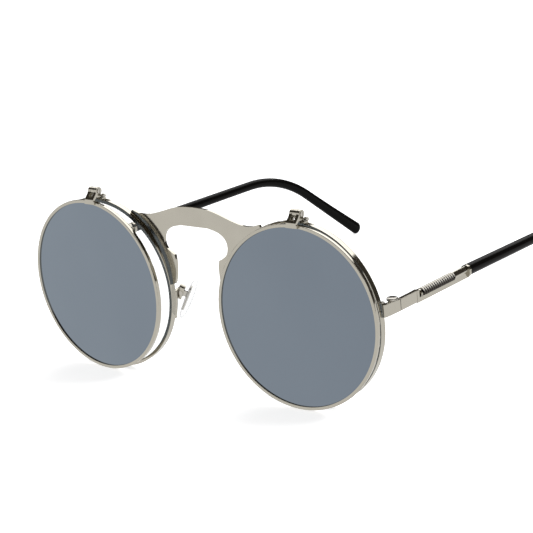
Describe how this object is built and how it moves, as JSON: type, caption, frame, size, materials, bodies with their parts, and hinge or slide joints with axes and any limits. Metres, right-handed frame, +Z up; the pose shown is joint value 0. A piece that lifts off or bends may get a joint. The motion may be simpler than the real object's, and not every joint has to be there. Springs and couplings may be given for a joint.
{
  "type": "flip up sunglasses",
  "caption": "Round metal sunglasses with mirror lenses that flip up from clear ones, a cut-out bridge, folding temples with small coil springs and black tips.",
  "frame": {"origin": "on the ground under the middle of the bounding box, with the rims and the temple tips standing on it", "axes": "+X to the viewer's right as seen from the front, +Y back along the open temples, +Z up"},
  "size_m": [0.1232, 0.1522, 0.053],
  "materials": {
    "silver_metal": "polished nickel silver, slightly warm",
    "screws": "polished",
    "spring_wire": "drawn bright wire",
    "mirror_lens": "silver grey mirror coating",
    "clear_lens": "clear, polished",
    "clear_pad": "clear soft silicone",
    "black_tip": "glossy"
  },
  "bodies": {
    "frame": {"bridge_plate": "silver_metal", "rim_right": "silver_metal", "clear_lens_right": "clear_lens", "rim_lock_right": "silver_metal", "rim_screw_right": "screws", "flip_bracket_right": "silver_metal", "stop_pin_right": "screws", "endpiece_right": "silver_metal", "temple_screw_right": "screws", "pad_arm_right": "silver_metal", "pad_box_right": "silver_metal", "pad_screw_right": "screws", "rim_left": "silver_metal", "clear_lens_left": "clear_lens", "rim_lock_left": "silver_metal", "rim_screw_left": "screws", "flip_bracket_left": "silver_metal", "stop_pin_left": "screws", "endpiece_left": "silver_metal", "temple_screw_left": "screws", "pad_arm_left": "silver_metal", "pad_box_left": "silver_metal", "pad_screw_left": "screws"},
    "flip_right": {"flip_ring_right": "silver_metal", "mirror_lens_right": "mirror_lens", "flip_tab_right": "silver_metal", "flip_screw_right": "screws"},
    "flip_left": {"flip_ring_left": "silver_metal", "mirror_lens_left": "mirror_lens", "flip_tab_left": "silver_metal", "flip_screw_left": "screws"},
    "temple_right": {"temple_plate_right": "silver_metal", "spring_block_right": "silver_metal", "spring_bar_right": "silver_metal", "coil_spring_right": "spring_wire", "ferrule_right": "silver_metal", "temple_core_right": "spring_wire", "temple_tip_right": "black_tip"},
    "temple_left": {"temple_plate_left": "silver_metal", "spring_block_left": "silver_metal", "spring_bar_left": "silver_metal", "coil_spring_left": "spring_wire", "ferrule_left": "silver_metal", "temple_core_left": "spring_wire", "temple_tip_left": "black_tip"},
    "pad_right": {"pad_core_right": "screws", "nose_pad_right": "clear_pad"},
    "pad_left": {"pad_core_left": "screws", "nose_pad_left": "clear_pad"}
  },
  "joints": [
    {"name": "lens_flip_right", "type": "hinge", "parent": "frame", "child": "flip_right", "pos_m": [0, -0.07189, 0.05191], "axis": [-1, 0, 0], "range_deg": [-2.6, 87.4]},
    {"name": "lens_flip_left", "type": "hinge", "parent": "frame", "child": "flip_left", "pos_m": [0, -0.07189, 0.05191], "axis": [-1, 0, 0], "range_deg": [-0.3, 89.7]},
    {"name": "temple_fold_right", "type": "hinge", "parent": "frame", "child": "temple_right", "pos_m": [0.0596, -0.06494, 0.02824], "axis": [0, 0.0248, 0.9997], "range_deg": [0, 90]},
    {"name": "temple_fold_left", "type": "hinge", "parent": "frame", "child": "temple_left", "pos_m": [-0.0596, -0.06494, 0.02824], "axis": [0, -0.0248, -0.9997], "range_deg": [0, 80]},
    {"name": "pad_rock_right", "type": "hinge", "parent": "frame", "child": "pad_right", "pos_m": [0.01151, -0.06514, 0.02339], "axis": [0.5188, 0.8488, -0.1018], "range_deg": [-3, 3]},
    {"name": "pad_rock_left", "type": "hinge", "parent": "frame", "child": "pad_left", "pos_m": [-0.01151, -0.06514, 0.02339], "axis": [-0.5188, 0.8488, -0.1018], "range_deg": [-3, 3]}
  ]
}
